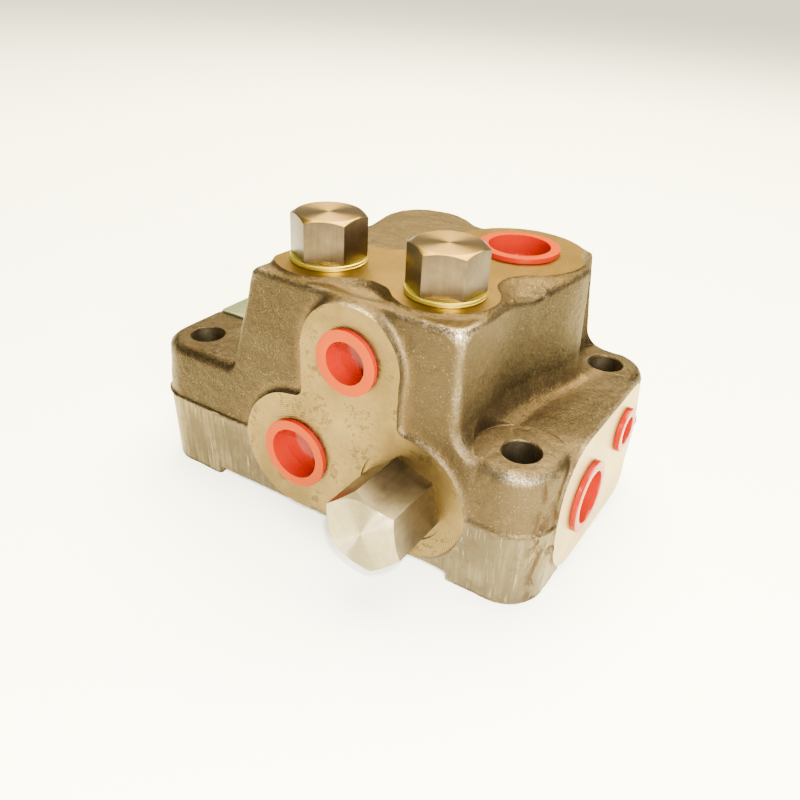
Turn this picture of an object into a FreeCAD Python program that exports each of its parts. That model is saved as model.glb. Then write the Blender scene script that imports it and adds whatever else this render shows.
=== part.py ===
import FreeCAD, Part
import math
import os

from FreeCAD import Vector as V

# Hydraulic monoblock valve: one iron casting with machined faces, ports, a spool and two
# spring-loaded poppets, closed by hexagon plugs and shipped with plastic port caps.
# Millimetres. Origin: centre of the four mounting holes on the plane of the feet.
# X runs along the front face, Y towards the back, Z up.

# ---- driving dimensions ------------------------------------------------------------------
HOLE_R = 7.15                 # 9/16 in mounting holes
HOLE_X, HOLE_Y = 74.6, 41.35  # half spacings of the mounting holes
CORNER_R = 16.8               # flange corners, concentric with the holes
DRAFT = math.tan(math.radians(3.0))

Z_RECESS = 3.3                # underside between the feet
Z_PART = 32.8                 # mould parting plane
Z_FLANGE = 57.0               # flange top and bolt seats
Z_CAST_TOP = 101.2            # as-cast top of the tower
Z_TOP = 102.6                 # machined top face
Y_FRONT = -59.0               # machined front face
X_SIDE = 92.2                 # machined end face
RELIEF_R = 17.2               # bolt-head relief over each mounting hole
FLANGE_ROUND = 4.0            # rounding of the flange's top edge
FOOT_X, FOOT_Y = 57.0, 24.0   # inner edges of the four feet

PLUG_LEFT = (-17.4, -31.0)    # top cavities, x and y
PLUG_RIGHT = (33.9, -31.0)
TOP_PORT = (35.3, 25.8)
BOSS_LEFT_R, BOSS_RIGHT_R, BOSS_PORT_R = 20.5, 19.5, 27.6
BOSS_BLEND_R, BOSS_BLEND_LEFT_R = 14.0, 25.0
BOSS_SINK = 18.0              # how far the boss reaches down into the tower

SPOOL_X, SPOOL_Z = 37.4, 31.2       # spool bore, along Y
LOW_PORT_X, LOW_PORT_Z = -11.5, 31.4
HIGH_PORT_X, HIGH_PORT_Z = 12.4, 79.3
SIDE_BIG_Y, SIDE_BIG_Z = -14.7, 29.7
SIDE_SMALL_Y, SIDE_SMALL_Z = 21.0, 41.2

PAD_LOW_R, PAD_SPOOL_R, PAD_HIGH_R = 25.4, 25.6, 21.6  # lobes of the front pad
PAD_FOOT_Z = 7.2              # lower edge of the front pad
FRONT_PAD_DEPTH, SIDE_PAD_DEPTH = 9.0, 7.0
SIDE_PAD_FRONT, SIDE_PAD_BACK = -42.3, 36.5
SIDE_PAD_LOW, SIDE_PAD_HIGH = 4.2, 58.2

# straight-thread O-ring ports: thread radius, mouth radius, hole depth, passage radius,
# cap flange radius, cap inside radius
SAE_12 = (13.49, 14.10, 19.0, 9.5, 16.4, 12.6)
SAE_10 = (11.11, 11.70, 17.0, 8.0, 14.5, 10.6)
SAE_8 = (9.53, 10.10, 16.0, 6.5, 12.7, 8.3)
SAE_6 = (7.14, 7.70, 14.0, 4.0, 9.4, 5.9)
MOUTH_DEPTH = 7.0             # wide mouth ahead of the thread
CAP_FLANGE = 2.0
CAP_DEPTH = 6.6
CAP_FLOOR = 1.3

CAVITY_THREAD_R = 11.11       # 7/8-14 top cavities
CAVITY_BORE_R = 9.0
CAVITY_THREAD_END = 86.6
CAVITY_SEAT_Z = 64.0
CAVITY_PASSAGE_R = 6.0
HEX_TOP_AF = 25.4             # 1 in across flats
HEX_TOP_H = 16.2
HEX_LEFT_TURN, HEX_RIGHT_TURN = 28.7, 23.3  # degrees, a corner against +X
WASHER_R, WASHER_IN_R, WASHER_T = 14.9, 12.3, 1.9
SHANK_CLEAR = 0.05

SPOOL_BORE_R = 9.50
SPOOL_R = 9.46
SPOOL_HALF = 32.0
SPOOL_NECK_R = 6.5
FRONT_THREAD_R = 13.49        # 1-1/16-12 end plugs of the spool bore
FRONT_THREAD_DEPTH = 17.0
SPOTFACE_R, SPOTFACE_DEPTH = 18.3, 0.8
HEX_FRONT_AF = 28.575         # 1-1/8 in across flats
HEX_FRONT_H = 26.6
HEX_FRONT_TURN = -18.3        # degrees, a corner against +X
END_SHANK = 13.0              # threaded length of both spool plugs
FRONT_POCKET_WALL, REAR_POCKET_WALL = 3.0, 5.0
GROOVE_NEAR, GROOVE_FAR, GROOVE_DEPTH = 0.4, 2.8, 2.0  # O-ring groove under a plug's head
O_RING_SECTION_R = 0.95
END_POCKET_R = 6.5            # spring pocket in a spool plug
REAR_HEAD_R, REAR_HEAD_T = 16.0, 3.2
REAR_SOCKET_AF, REAR_SOCKET_DEPTH, REAR_SOCKET_MOUTH_R = 12.7, 6.0, 6.0
REAR_SPOTFACE_R, REAR_PAD_R, REAR_PAD_RISE = 17.5, 20.0, 2.0
Y_REAR = 56.6                 # machined ring around the rear end of the spool bore

GALLERY_R = 4.0               # drilled cross gallery, along X
GALLERY_Z = 79.3
GALLERY_PLUG_R = 4.7
GALLERY_START_X = -60.0       # outside the tower's left wall
GALLERY_PLUG_OUT, GALLERY_PLUG_IN = -38.6, -31.5
SQUARE_SOCKET_HALF, SQUARE_SOCKET_END = 1.9, -34.5

SHANK_POCKET_R = 5.9          # spring pocket in a top plug
SHANK_END_Z, SHANK_POCKET_Z = 88.2, 96.0
SPOOL_POCKET_R, SPOOL_POCKET_DEPTH = 5.0, 9.0
SPOOL_GROOVE_Y, SPOOL_GROOVE_HALF = 13.0, 5.5
BALANCE_Y, BALANCE_HALF, BALANCE_DEPTH = (-26.0, -2.0, 2.0, 26.0), 0.4, 0.5

SPRING_WIRE_R = 0.8
SPRING_GAP = 0.1              # between a spring's end and its seat
SPOOL_SPRING_R, SPOOL_SPRING_TURNS = 3.9, 9
POPPET_SPRING_R, POPPET_SPRING_TURNS = 4.6, 8

SEAT_TOP_Z, SEAT_BORE_R, SEAT_MOUTH_R = 67.6, 4.4, 7.0
POPPET_LOW, POPPET_HIGH = 66.2, 80.0
POPPET_POCKET_Z = 71.0
POPPET_NOSE_R, POPPET_CLEAR = 4.6, 0.04
POPPET_GUIDE_LOW = 68.2       # where the nose meets the guide
FLUTE_R, FLUTE_COUNT = 1.6, 4

PLATE_LOW, PLATE_HIGH = (-86.5, -20.8), (-56.5, 16.2)
PLATE_T, PLATE_CORNER_R = 0.9, 1.0
RIVET_X, RIVET_YS = -59.8, (-16.8, 12.2)
RIVET_R, RIVET_HEAD_R, RIVET_CROWN_R, RIVET_DEPTH = 1.5, 2.6, 1.2, 6.0
RIVET_RIM, RIVET_CROWN = 0.5, 0.9  # straight edge and domed part of a rivet head


# ---- helpers -----------------------------------------------------------------------------
def cyl(radius, start, end):
    """Cylinder from one point to another."""
    axis = end.sub(start)
    return Part.makeCylinder(radius, axis.Length, start, axis)


def cone(radius_start, radius_end, start, end):
    """Cone frustum from one point to another."""
    axis = end.sub(start)
    return Part.makeCone(radius_start, radius_end, axis.Length, start, axis)


def box(low, high):
    """Box between two opposite corners."""
    size = V(*high).sub(V(*low))
    return Part.makeBox(size.x, size.y, size.z, V(*low))


def rounded_wire(corners, place):
    """Closed wire of straight runs and corner arcs; corners are (u, v, radius)."""
    edges = []
    starts, ends = [], []
    count = len(corners)
    for i in range(count):
        u, v, radius = corners[i]
        here = V(u, v, 0)
        before = V(corners[i - 1][0], corners[i - 1][1], 0).sub(here)
        after = V(corners[(i + 1) % count][0], corners[(i + 1) % count][1], 0).sub(here)
        before.normalize()
        after.normalize()
        half = before.getAngle(after) / 2
        reach = radius / math.tan(half)
        middle = before.add(after)
        middle.normalize()
        centre = here.add(middle * (radius / math.sin(half)))
        starts.append(here.add(before * reach))
        ends.append(here.add(after * reach))
        touch = centre.sub(middle * radius)
        edges.append(Part.Arc(place(starts[i]), place(touch), place(ends[i])).toShape())
    wire_edges = []
    for i in range(count):
        wire_edges.append(edges[i])
        following = starts[(i + 1) % count]
        wire_edges.append(Part.LineSegment(place(ends[i]), place(following)).toShape())
    return Part.Wire(wire_edges)


def flat(z):
    """Places outline points on the level plane at height z."""
    return lambda p: V(p.x, p.y, z)


def prism(corners, z_low, z_high):
    face = Part.Face(rounded_wire(corners, flat(z_low)))
    return face.extrude(V(0, 0, z_high - z_low))


def drafted(corners_low, z_low, corners_high, z_high):
    """Solid between two outlines with matching corners."""
    wires = [rounded_wire(corners_low, flat(z_low)), rounded_wire(corners_high, flat(z_high))]
    return Part.makeLoft(wires, True, True)


def grown(corners, by):
    """Rectangle corners (u, v, radius) moved outwards with their arcs."""
    signs = [(u / abs(u), v / abs(v)) for u, v, radius in corners]
    return [(u + su * by, v + sv * by, radius + by)
            for (u, v, radius), (su, sv) in zip(corners, signs)]


def hexagon(across_flats, height, centre, axis, turn=0.0):
    """Hexagonal bar with its outer end turned to a 30 degree chamfer."""
    corner_r = across_flats / math.sqrt(3)
    points = []
    for k in range(7):
        angle = math.radians(60 * k + turn)
        points.append(V(corner_r * math.cos(angle), corner_r * math.sin(angle), 0))
    bar = Part.Face(Part.makePolygon(points)).extrude(V(0, 0, height))
    face_r = across_flats / 2 * 0.97
    slope = math.tan(math.radians(30))
    drop = (corner_r - face_r + 1) * slope
    turned = Part.makeCylinder(corner_r + 1, height - drop)
    turned = turned.fuse(Part.makeCone(corner_r + 1, face_r, drop, V(0, 0, height - drop)))
    bar = bar.common(turned)
    bar.Placement = FreeCAD.Placement(centre, FreeCAD.Rotation(V(0, 0, 1), axis))
    return bar


def ring(outer, inner, start, end):
    return cyl(outer, start, end).cut(cyl(inner, start, end))


def coil_spring(mean_r, length, turns, start, axis):
    """Round-wire helical spring standing on a point."""
    wire_r = SPRING_WIRE_R
    rise = length - 2 * wire_r
    helix = Part.makeHelix(rise / turns, rise, mean_r)
    circle = Part.Circle(V(mean_r, 0, 0), V(0, 1, 0), wire_r).toShape()
    coil = Part.Wire(helix.Edges).makePipeShell([Part.Wire([circle])], True, True)
    coil.translate(V(0, 0, wire_r))
    coil.Placement = FreeCAD.Placement(start, FreeCAD.Rotation(V(0, 0, 1), axis)).multiply(
        coil.Placement)
    return coil


def along(point, axis, distance):
    return point.add(axis * distance)


# ---- where things are --------------------------------------------------------------------
UP = V(0, 0, 1)
FRONT = V(0, -1, 0)
BACK = V(0, 1, 0)
RIGHT = V(1, 0, 0)

PORTS = {
    "top": (V(TOP_PORT[0], TOP_PORT[1], Z_TOP), UP, SAE_12, 58.0),
    "front_lower": (V(LOW_PORT_X, Y_FRONT, LOW_PORT_Z), FRONT, SAE_10, 32.0),
    "front_upper": (V(HIGH_PORT_X, Y_FRONT, HIGH_PORT_Z), FRONT, SAE_8, 30.0),
    "side_large": (V(X_SIDE, SIDE_BIG_Y, SIDE_BIG_Z), RIGHT, SAE_10, 40.0),
    "side_small": (V(X_SIDE, SIDE_SMALL_Y, SIDE_SMALL_Z), RIGHT, SAE_6, 52.0),
}
MOUNT_HOLES = [(sx * HOLE_X, sy * HOLE_Y) for sx in (-1, 1) for sy in (-1, 1)]


# ---- casting -----------------------------------------------------------------------------
def flange():
    """Mounting flange, drafted both ways from the parting plane, with four feet."""
    edge_x = HOLE_X + CORNER_R
    edge_y = HOLE_Y + CORNER_R
    widest = [(sx * edge_x, sy * edge_y, CORNER_R)
              for sx, sy in ((-1, -1), (1, -1), (1, 1), (-1, 1))]
    bottom = grown(widest, -Z_PART * DRAFT)
    top = grown(widest, -(Z_FLANGE - Z_PART) * DRAFT)
    lower = drafted(bottom, 0, widest, Z_PART)
    upper = drafted(widest, Z_PART, top, Z_FLANGE)
    rim = [e for e in upper.Edges
           if all(abs(vertex.Z - Z_FLANGE) < 0.01 for vertex in e.Vertexes)]
    upper = upper.makeFillet(FLANGE_ROUND, rim)
    return lower.fuse(upper)


def tower_outline(left, right_front, right_back, front, back, dip):
    return [
        (left, front, 5.0),
        (right_front, front, 4.0),
        (right_back, 6.0, 40.0),
        (right_back, back, 21.0),
        (24.0, back, 14.0),
        (5.0, dip, 12.0),
        (-8.0, back - 2.5, 10.0),
        (left + 3.0, back - 2.5, 12.0),
    ]


def tower():
    """Tower with drafted sides and a flared skirt where it meets the flange."""
    top = tower_outline(-35.0, 55.5, 61.3, -55.0, 54.0, 44.5)
    low = tower_outline(-46.0, 58.2, 64.0, -57.0, 56.5, 47.0)
    flared = tower_outline(-54.0, 63.0, 71.0, -57.0, 57.2, 50.0)
    z_low = Z_FLANGE - 4.0
    body = drafted(low, z_low, top, Z_CAST_TOP)
    skirt_mid = tower_outline(-44.6, 59.0, 64.5, -56.6, 56.4, 47.0)
    skirt = drafted(flared, z_low, skirt_mid, Z_FLANGE + 7.0)
    return body.fuse(skirt)


def blend(circle_a, circle_b, radius):
    """Centre and touch points of the arc that joins two bosses on the right of a-to-b."""
    (ax, ay, ar), (bx, by, br) = circle_a, circle_b
    span = math.hypot(bx - ax, by - ay)
    ux, uy = (bx - ax) / span, (by - ay) / span
    reach_a, reach_b = ar + radius, br + radius
    forward = (reach_a ** 2 - reach_b ** 2 + span ** 2) / (2 * span)
    aside = math.sqrt(reach_a ** 2 - forward ** 2)
    cx = ax + ux * forward + uy * aside
    cy = ay + uy * forward - ux * aside
    touch_a = (ax + (cx - ax) * ar / reach_a, ay + (cy - ay) * ar / reach_a)
    touch_b = (bx + (cx - bx) * br / reach_b, by + (cy - by) * br / reach_b)
    return (cx, cy), touch_a, touch_b


def arc_about(centre, radius, start, end, counter_clockwise=True):
    """Arc edge between two points on a circle at the machined top face."""
    first = math.atan2(start[1] - centre[1], start[0] - centre[0])
    last = math.atan2(end[1] - centre[1], end[0] - centre[0])
    turn = (last - first) % (2 * math.pi)
    if not counter_clockwise:
        turn -= 2 * math.pi
    middle = first + turn / 2
    point = (centre[0] + radius * math.cos(middle), centre[1] + radius * math.sin(middle))
    return Part.Arc(V(*start, 0), V(*point, 0), V(*end, 0)).toShape()


def top_boss():
    """Raised pad under the two plugs and the top port, one blended outline."""
    circles = [(*PLUG_LEFT, BOSS_LEFT_R), (*PLUG_RIGHT, BOSS_RIGHT_R),
               (*TOP_PORT, BOSS_PORT_R)]
    radii = [BOSS_BLEND_R, BOSS_BLEND_R, BOSS_BLEND_LEFT_R]
    blends = [blend(circles[i], circles[(i + 1) % 3], radii[i]) for i in range(3)]
    edges = []
    for i, (cx, cy, radius) in enumerate(circles):
        start, end = blends[i - 1][2], blends[i][1]
        edges.append(arc_about((cx, cy), radius, start, end))
        centre, touch, following = blends[i]
        edges.append(arc_about(centre, radii[i], touch, following, False))
    face = Part.Face(Part.Wire(edges))
    face.translate(V(0, 0, Z_CAST_TOP - BOSS_SINK))
    return face.extrude(V(0, 0, Z_TOP - Z_CAST_TOP + BOSS_SINK))


def front_pad():
    """Proud machined pad around the front ports and the spool plug."""
    start = Y_FRONT + FRONT_PAD_DEPTH
    lobes = [(LOW_PORT_X, LOW_PORT_Z, PAD_LOW_R), (SPOOL_X, SPOOL_Z, PAD_SPOOL_R),
             (HIGH_PORT_X, HIGH_PORT_Z, PAD_HIGH_R)]
    discs = [cyl(r, V(x, start, z), V(x, Y_FRONT, z)) for x, z, r in lobes]
    pad = discs[0].fuse(discs[1:])
    pad = pad.fuse(box((HIGH_PORT_X - PAD_HIGH_R, Y_FRONT, SPOOL_Z),
                       (HIGH_PORT_X + PAD_HIGH_R, start, HIGH_PORT_Z)))
    return pad.fuse(box((LOW_PORT_X, Y_FRONT, PAD_FOOT_Z), (SPOOL_X, start, SPOOL_Z)))


def side_pad():
    """Proud machined pad around the two ports of the right-hand end."""
    outline = [(SIDE_PAD_FRONT, SIDE_PAD_LOW, 24.0), (SIDE_PAD_BACK, SIDE_PAD_LOW, 8.0),
               (SIDE_PAD_BACK, SIDE_PAD_HIGH, 8.0), (SIDE_PAD_FRONT, SIDE_PAD_HIGH, 20.0)]
    wire = rounded_wire(outline, lambda p: V(X_SIDE - SIDE_PAD_DEPTH, p.x, p.y))
    return Part.Face(wire).extrude(V(SIDE_PAD_DEPTH, 0, 0))


def rear_pad():
    """Machined ring around the rear end of the spool bore."""
    low, high = Y_REAR - 8.0, Y_REAR + REAR_PAD_RISE
    return cyl(REAR_PAD_R, V(SPOOL_X, low, SPOOL_Z), V(SPOOL_X, high, SPOOL_Z))


def port_cut(name):
    """Mouth, thread, drill point and passage of one port."""
    mouth, out, sizes, passage_depth = PORTS[name]
    thread_r, mouth_r, depth, passage_r = sizes[:4]
    floor = along(mouth, out, -depth)
    point = along(mouth, out, -depth - (thread_r - passage_r) * 0.6)
    cut = cyl(mouth_r, along(mouth, out, 1.0), along(mouth, out, -MOUTH_DEPTH))
    cut = cut.fuse(cyl(thread_r, mouth, floor))
    cut = cut.fuse(cone(thread_r, passage_r, floor, point))
    return cut.fuse(cyl(passage_r, floor, along(mouth, out, -passage_depth)))


def cavity_cut(place):
    """Stepped cavity for one poppet, down to the galleries."""
    x, y = place
    cut = cyl(CAVITY_THREAD_R, V(x, y, CAVITY_THREAD_END), V(x, y, Z_TOP + 1))
    cut = cut.fuse(cyl(CAVITY_BORE_R, V(x, y, CAVITY_SEAT_Z), V(x, y, CAVITY_THREAD_END)))
    return cut.fuse(cyl(CAVITY_PASSAGE_R, V(x, y, SPOOL_Z), V(x, y, CAVITY_SEAT_Z)))


def spool_cut():
    """Through bore with threaded ends, a spotface in front and one behind."""
    at = lambda y: V(SPOOL_X, y, SPOOL_Z)
    cut = cyl(SPOOL_BORE_R, at(Y_FRONT - 1), at(Y_REAR + 3))
    cut = cut.fuse(cyl(FRONT_THREAD_R, at(Y_FRONT - 1), at(Y_FRONT + FRONT_THREAD_DEPTH)))
    cut = cut.fuse(cyl(FRONT_THREAD_R, at(Y_REAR - FRONT_THREAD_DEPTH), at(Y_REAR + 3)))
    cut = cut.fuse(cyl(SPOTFACE_R, at(Y_FRONT - 1), at(Y_FRONT + SPOTFACE_DEPTH)))
    return cut.fuse(cyl(REAR_SPOTFACE_R, at(Y_REAR), at(Y_REAR + 3)))


def gallery_cut():
    """Cross gallery drilled from the left of the tower between the two cavities."""
    y = PLUG_LEFT[1]
    start = V(GALLERY_START_X, y, GALLERY_Z)
    cut = cyl(GALLERY_R, start, V(PLUG_RIGHT[0], y, GALLERY_Z))
    return cut.fuse(cyl(GALLERY_PLUG_R, start, V(GALLERY_PLUG_IN, y, GALLERY_Z)))


def valve_body():
    body = flange().fuse(tower())
    for (x, y) in MOUNT_HOLES:
        body = body.cut(cyl(RELIEF_R, V(x, y, Z_FLANGE), V(x, y, Z_TOP + 5)))
    body = body.fuse([top_boss(), front_pad(), side_pad(), rear_pad()])
    x, y = HOLE_X, HOLE_Y
    body = body.cut(cyl(RELIEF_R, V(x, y, Z_FLANGE + 3), V(x, y, Z_TOP + 5)))
    far = 200.0
    body = body.cut(box((-FOOT_X, -far, -1), (FOOT_X, far, Z_RECESS)))
    body = body.cut(box((-far, -FOOT_Y, -1), (far, FOOT_Y, Z_RECESS)))
    for (x, y) in MOUNT_HOLES:
        body = body.cut(cyl(HOLE_R, V(x, y, -1), V(x, y, Z_FLANGE + 1)))
    for name in PORTS:
        body = body.cut(port_cut(name))
    for place in (PLUG_LEFT, PLUG_RIGHT):
        body = body.cut(cavity_cut(place))
    body = body.cut(spool_cut())
    return body.cut(gallery_cut())


# ---- closures ----------------------------------------------------------------------------
def top_plug(place, turn):
    """Hexagon plug with a hollow threaded shank that holds the poppet spring."""
    x, y = place
    seat = Z_TOP + WASHER_T
    plug = hexagon(HEX_TOP_AF, HEX_TOP_H, V(x, y, seat), UP, turn)
    plug = plug.fuse(cyl(CAVITY_THREAD_R - SHANK_CLEAR, V(x, y, SHANK_END_Z), V(x, y, seat)))
    plug = plug.cut(cyl(SHANK_POCKET_R, V(x, y, SHANK_END_Z - 1), V(x, y, SHANK_POCKET_Z)))
    return plug.removeSplitter()


def seal_washer(place):
    x, y = place
    return ring(WASHER_R, WASHER_IN_R, V(x, y, Z_TOP), V(x, y, Z_TOP + WASHER_T))


def washer_rubber(place):
    """Rubber lip inside the metal ring, a little thinner than it."""
    x, y = place
    low, high = Z_TOP + 0.15, Z_TOP + WASHER_T - 0.15
    return ring(WASHER_IN_R, CAVITY_THREAD_R + 0.05, V(x, y, low), V(x, y, high))


def spool_plug_groove(head_y, inwards):
    """O-ring groove just under a spool plug's head."""
    at = lambda d: V(SPOOL_X, head_y + inwards * d, SPOOL_Z)
    return ring(FRONT_THREAD_R + 1, FRONT_THREAD_R - GROOVE_DEPTH, at(GROOVE_NEAR), at(GROOVE_FAR))


def front_plug():
    """Long hexagon plug that closes the spool bore and holds the front spring."""
    at = lambda y: V(SPOOL_X, y, SPOOL_Z)
    seat = Y_FRONT + SPOTFACE_DEPTH
    end = seat + END_SHANK
    plug = hexagon(HEX_FRONT_AF, HEX_FRONT_H, at(seat), FRONT, HEX_FRONT_TURN)
    plug = plug.fuse(cyl(FRONT_THREAD_R - SHANK_CLEAR, at(seat), at(end)))
    plug = plug.cut(cyl(END_POCKET_R, at(seat + FRONT_POCKET_WALL), at(end + 1)))
    return plug.cut(spool_plug_groove(seat, 1)).removeSplitter()


def rear_plug():
    """Low plug with a hexagon socket, for the rear end of the spool bore."""
    at = lambda y: V(SPOOL_X, y, SPOOL_Z)
    top, end = Y_REAR + REAR_HEAD_T, Y_REAR - END_SHANK
    plug = cyl(REAR_HEAD_R, at(Y_REAR), at(top))
    plug = plug.fuse(cyl(FRONT_THREAD_R - SHANK_CLEAR, at(end), at(Y_REAR)))
    plug = plug.cut(cyl(END_POCKET_R, at(end - 1), at(Y_REAR - REAR_POCKET_WALL)))
    socket = hexagon(REAR_SOCKET_AF, REAR_SOCKET_DEPTH, at(top - REAR_SOCKET_DEPTH), BACK)
    plug = plug.cut(socket.fuse(cyl(REAR_SOCKET_MOUTH_R, at(Y_REAR), at(top + 1))))
    return plug.cut(spool_plug_groove(Y_REAR, -1)).removeSplitter()


def plug_o_ring(y):
    """Seal ring squeezed in the groove under a spool plug's head."""
    return Part.makeTorus(FRONT_THREAD_R - 1.0, O_RING_SECTION_R, V(SPOOL_X, y, SPOOL_Z), BACK)


# ---- spool and poppets -------------------------------------------------------------------
def spool():
    """Spool with four lands, two flow grooves, balance grooves and spring pockets."""
    at = lambda y: V(SPOOL_X, y, SPOOL_Z)
    body = cyl(SPOOL_R, at(-SPOOL_HALF), at(SPOOL_HALF))
    grooves = [(y, SPOOL_GROOVE_HALF, SPOOL_NECK_R) for y in (-SPOOL_GROOVE_Y, SPOOL_GROOVE_Y)]
    grooves += [(y, BALANCE_HALF, SPOOL_R - BALANCE_DEPTH) for y in BALANCE_Y]
    for middle, half, neck_r in grooves:
        body = body.cut(ring(SPOOL_R + 1, neck_r, at(middle - half), at(middle + half)))
    for side in (-1, 1):
        floor = side * (SPOOL_HALF - SPOOL_POCKET_DEPTH)
        body = body.cut(cyl(SPOOL_POCKET_R, at(floor), at(side * (SPOOL_HALF + 1))))
    return body


def spool_spring(side):
    """Centring spring between a spool pocket and the plug at that end."""
    floor = SPOOL_HALF - SPOOL_POCKET_DEPTH
    if side < 0:
        stop = -(Y_FRONT + SPOTFACE_DEPTH + FRONT_POCKET_WALL)
    else:
        stop = Y_REAR - REAR_POCKET_WALL
    length = stop - floor - 2 * SPRING_GAP
    start = V(SPOOL_X, side * (floor + SPRING_GAP), SPOOL_Z)
    return coil_spring(SPOOL_SPRING_R, length, SPOOL_SPRING_TURNS, start, V(0, side, 0))


def poppet(place):
    """Hollow guided poppet with a conical nose that sits in its seat ring."""
    x, y = place
    guide = cyl(CAVITY_BORE_R - POPPET_CLEAR, V(x, y, POPPET_GUIDE_LOW), V(x, y, POPPET_HIGH))
    nose = cone(POPPET_NOSE_R, SEAT_MOUTH_R, V(x, y, POPPET_LOW), V(x, y, POPPET_GUIDE_LOW))
    pocket = cyl(SHANK_POCKET_R, V(x, y, POPPET_POCKET_Z), V(x, y, POPPET_HIGH + 1))
    body = guide.fuse(nose).cut(pocket)
    for k in range(FLUTE_COUNT):
        angle = 2 * math.pi * (k + 0.5) / FLUTE_COUNT
        fx = x + CAVITY_BORE_R * math.cos(angle)
        fy = y + CAVITY_BORE_R * math.sin(angle)
        body = body.cut(cyl(FLUTE_R, V(fx, fy, SEAT_TOP_Z), V(fx, fy, POPPET_HIGH - 3)))
    return body.removeSplitter()


def seat_ring(place):
    """Hardened seat pressed to the bottom of a cavity."""
    x, y = place
    body = ring(CAVITY_BORE_R, SEAT_BORE_R, V(x, y, CAVITY_SEAT_Z), V(x, y, SEAT_TOP_Z))
    low, high = V(x, y, POPPET_LOW - 0.35), V(x, y, SEAT_TOP_Z + 0.25)
    return body.cut(cone(SEAT_BORE_R, SEAT_MOUTH_R, low, high))


def poppet_spring(place):
    x, y = place
    start = V(x, y, POPPET_POCKET_Z + SPRING_GAP)
    length = SHANK_POCKET_Z - POPPET_POCKET_Z - 2 * SPRING_GAP
    return coil_spring(POPPET_SPRING_R, length, POPPET_SPRING_TURNS, start, UP)


def gallery_plug():
    """Taper pipe plug in the end of the cross gallery, with a square socket."""
    y, z, half = PLUG_LEFT[1], GALLERY_Z, SQUARE_SOCKET_HALF
    body = cyl(GALLERY_PLUG_R, V(GALLERY_PLUG_OUT, y, z), V(GALLERY_PLUG_IN, y, z))
    low = (GALLERY_PLUG_OUT - 1, y - half, z - half)
    return body.cut(box(low, (SQUARE_SOCKET_END, y + half, z + half)))


# ---- port caps and nameplate -------------------------------------------------------------
def port_cap(name):
    """Flanged plastic cup pushed into a port's mouth."""
    mouth, out, sizes = PORTS[name][:3]
    flange_r, inside_r = sizes[4], sizes[5]
    skirt_r = sizes[1] - 0.3
    face = along(mouth, out, 0.1 + CAP_FLANGE)
    cap = cyl(flange_r, along(mouth, out, 0.1), face)
    root = along(mouth, out, 0.1 + CAP_FLANGE / 2)
    cap = cap.fuse(cone(skirt_r, skirt_r - 0.5, root, along(mouth, out, -CAP_DEPTH)))
    hollow = cone(inside_r, inside_r - 0.5, face, along(mouth, out, CAP_FLOOR - CAP_DEPTH))
    return cap.cut(hollow).removeSplitter()


def plate_rivets():
    return [V(RIVET_X, y, Z_FLANGE) for y in RIVET_YS]


def nameplate():
    """Blank rating plate on the left of the flange."""
    (x0, y0), (x1, y1) = PLATE_LOW, PLATE_HIGH
    corners = [(x, y, PLATE_CORNER_R) for x, y in ((x0, y0), (x1, y0), (x1, y1), (x0, y1))]
    plate = prism(corners, Z_FLANGE, Z_FLANGE + PLATE_T)
    for point in plate_rivets():
        plate = plate.cut(cyl(RIVET_R, point, along(point, UP, 2)))
    return plate


def drive_screws():
    """The plate's two drive screws, from the plate's top down into blind holes."""
    screws = []
    for point in plate_rivets():
        seat = along(point, UP, PLATE_T)
        rim = along(seat, UP, RIVET_RIM)
        head = cyl(RIVET_HEAD_R, seat, rim)
        head = head.fuse(cone(RIVET_HEAD_R, RIVET_CROWN_R, rim, along(rim, UP, RIVET_CROWN)))
        screws.append(head.fuse(cyl(RIVET_R, along(point, UP, -RIVET_DEPTH), seat)))
    return Part.makeCompound(screws)


def screw_holes():
    holes = [cyl(RIVET_R, along(p, UP, -RIVET_DEPTH), along(p, UP, 1)) for p in plate_rivets()]
    return holes[0].fuse(holes[1:])


# ---- write the pieces --------------------------------------------------------------------
def all_pieces():
    pieces = {"valve_body": valve_body().cut(screw_holes())}
    cavities = (("left", PLUG_LEFT, HEX_LEFT_TURN), ("right", PLUG_RIGHT, HEX_RIGHT_TURN))
    for side, place, turn in cavities:
        pieces["top_plug_" + side] = top_plug(place, turn)
        pieces["seal_washer_" + side] = seal_washer(place)
        pieces["washer_rubber_" + side] = washer_rubber(place)
        pieces["poppet_" + side] = poppet(place)
        pieces["poppet_seat_" + side] = seat_ring(place)
        pieces["poppet_spring_" + side] = poppet_spring(place)
    pieces["spool"] = spool()
    pieces["spool_spring_front"] = spool_spring(-1)
    pieces["spool_spring_rear"] = spool_spring(1)
    pieces["spool_plug_front"] = front_plug()
    pieces["spool_plug_rear"] = rear_plug()
    groove_middle = (GROOVE_NEAR + GROOVE_FAR) / 2
    pieces["plug_o_ring_front"] = plug_o_ring(Y_FRONT + SPOTFACE_DEPTH + groove_middle)
    pieces["plug_o_ring_rear"] = plug_o_ring(Y_REAR - groove_middle)
    pieces["gallery_plug"] = gallery_plug()
    for name in PORTS:
        pieces["port_cap_" + name] = port_cap(name)
    pieces["nameplate"] = nameplate()
    pieces["plate_drive_screws"] = drive_screws()
    return pieces


os.makedirs("parts", exist_ok=True)
for node, shape in all_pieces().items():
    shape.exportStep("parts/" + node + ".step")
    print(node, len(shape.Solids), shape.isValid(), round(shape.Volume))
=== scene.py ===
import math

import bmesh
import bpy
import numpy as np
import openvdb
from mathutils import Matrix, Vector


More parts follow.
